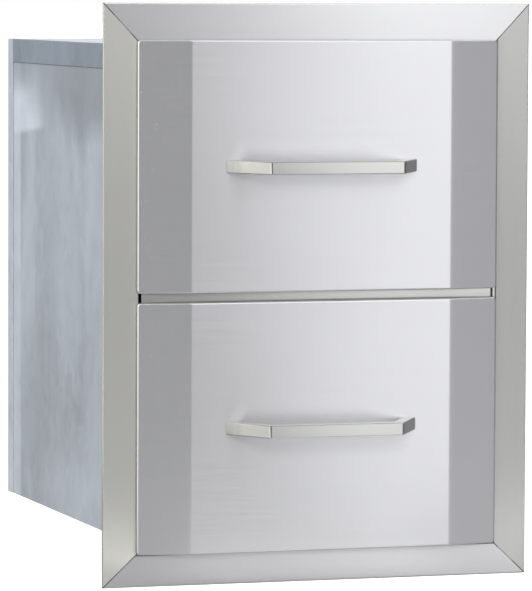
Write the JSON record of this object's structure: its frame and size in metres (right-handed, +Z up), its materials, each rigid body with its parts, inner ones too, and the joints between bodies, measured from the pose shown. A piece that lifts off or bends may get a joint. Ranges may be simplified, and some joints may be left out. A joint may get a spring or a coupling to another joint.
{
  "type": "outdoor kitchen drawer unit",
  "caption": "Built-in drawer unit for an outdoor kitchen island: stacked full extension drawers with bevelled steel fronts and bow handles, in a flanged face frame and sheet enclosure.",
  "frame": {"origin": "on the seating plane behind the face frame, at the middle of the bottom member's outer hem", "axes": "+X to the right as seen from the front, +Y back into the island, +Z up; the drawers open along -Y"},
  "size_m": [0.4318, 0.5184, 0.5588],
  "materials": {
    "frame_steel": "brushed along each member, satin",
    "front_steel": "brushed crosswise, satin",
    "handle_steel": "fine satin, slightly brighter than the fronts",
    "tray_steel": "mill finish, dull",
    "enclosure_steel": "zinc coated sheet, faintly mottled",
    "slide_steel": "bright zinc plate",
    "ball_steel": "polished bearing steel",
    "stop_rubber": "moulded, matt black"
  },
  "bodies": {
    "cabinet": {"frame_top": "frame_steel", "frame_bottom": "frame_steel", "frame_left": "frame_steel", "frame_right": "frame_steel", "mid_rail": "frame_steel", "enclosure_left": "enclosure_steel", "enclosure_right": "enclosure_steel", "enclosure_top": "enclosure_steel", "enclosure_bottom": "enclosure_steel", "enclosure_back": "enclosure_steel", "post_front_left": "enclosure_steel", "post_front_right": "enclosure_steel", "post_rear_left": "enclosure_steel", "post_rear_right": "enclosure_steel", "lower_left_cabinet_member": "slide_steel", "lower_left_end_stop": "stop_rubber", "lower_right_cabinet_member": "slide_steel", "lower_right_end_stop": "stop_rubber", "upper_left_cabinet_member": "slide_steel", "upper_left_end_stop": "stop_rubber", "upper_right_cabinet_member": "slide_steel", "upper_right_end_stop": "stop_rubber"},
    "lower_drawer": {"lower_front_skin": "front_steel", "lower_front_liner": "tray_steel", "lower_handle": "handle_steel", "lower_left_handle_screw": "slide_steel", "lower_right_handle_screw": "slide_steel", "lower_tray_pan": "tray_steel", "lower_tray_front": "tray_steel", "lower_tray_back": "tray_steel", "lower_left_drawer_member": "slide_steel", "lower_right_drawer_member": "slide_steel"},
    "lower_runners": {"lower_left_runner": "slide_steel", "lower_right_runner": "slide_steel"},
    "lower_outer_cages": {"lower_left_outer_balls": "ball_steel", "lower_right_outer_balls": "ball_steel"},
    "lower_inner_cages": {"lower_left_inner_balls": "ball_steel", "lower_right_inner_balls": "ball_steel"},
    "upper_drawer": {"upper_front_skin": "front_steel", "upper_front_liner": "tray_steel", "upper_handle": "handle_steel", "upper_left_handle_screw": "slide_steel", "upper_right_handle_screw": "slide_steel", "upper_tray_pan": "tray_steel", "upper_tray_front": "tray_steel", "upper_tray_back": "tray_steel", "upper_left_drawer_member": "slide_steel", "upper_right_drawer_member": "slide_steel"},
    "upper_runners": {"upper_left_runner": "slide_steel", "upper_right_runner": "slide_steel"},
    "upper_outer_cages": {"upper_left_outer_balls": "ball_steel", "upper_right_outer_balls": "ball_steel"},
    "upper_inner_cages": {"upper_left_inner_balls": "ball_steel", "upper_right_inner_balls": "ball_steel"}
  },
  "joints": [
    {"name": "lower_drawer_slide", "type": "slide", "parent": "cabinet", "child": "lower_drawer", "axis": [0, -1, 0], "range_m": [0, 0.4]},
    {"name": "lower_runner_slide", "type": "slide", "parent": "cabinet", "child": "lower_runners", "axis": [0, -1, 0], "range_m": [0, 0.2]},
    {"name": "lower_outer_cage_slide", "type": "slide", "parent": "cabinet", "child": "lower_outer_cages", "axis": [0, -1, 0], "range_m": [0, 0.1]},
    {"name": "lower_inner_cage_slide", "type": "slide", "parent": "cabinet", "child": "lower_inner_cages", "axis": [0, -1, 0], "range_m": [0, 0.3]},
    {"name": "upper_drawer_slide", "type": "slide", "parent": "cabinet", "child": "upper_drawer", "axis": [0, -1, 0], "range_m": [0, 0.4]},
    {"name": "upper_runner_slide", "type": "slide", "parent": "cabinet", "child": "upper_runners", "axis": [0, -1, 0], "range_m": [0, 0.2]},
    {"name": "upper_outer_cage_slide", "type": "slide", "parent": "cabinet", "child": "upper_outer_cages", "axis": [0, -1, 0], "range_m": [0, 0.1]},
    {"name": "upper_inner_cage_slide", "type": "slide", "parent": "cabinet", "child": "upper_inner_cages", "axis": [0, -1, 0], "range_m": [0, 0.3]}
  ],
  "couplings": [
    {"joint": "lower_runner_slide", "follows": "lower_drawer_slide", "ratio": 0.5},
    {"joint": "lower_outer_cage_slide", "follows": "lower_drawer_slide", "ratio": 0.25},
    {"joint": "lower_inner_cage_slide", "follows": "lower_drawer_slide", "ratio": 0.75},
    {"joint": "upper_runner_slide", "follows": "upper_drawer_slide", "ratio": 0.5},
    {"joint": "upper_outer_cage_slide", "follows": "upper_drawer_slide", "ratio": 0.25},
    {"joint": "upper_inner_cage_slide", "follows": "upper_drawer_slide", "ratio": 0.75}
  ]
}
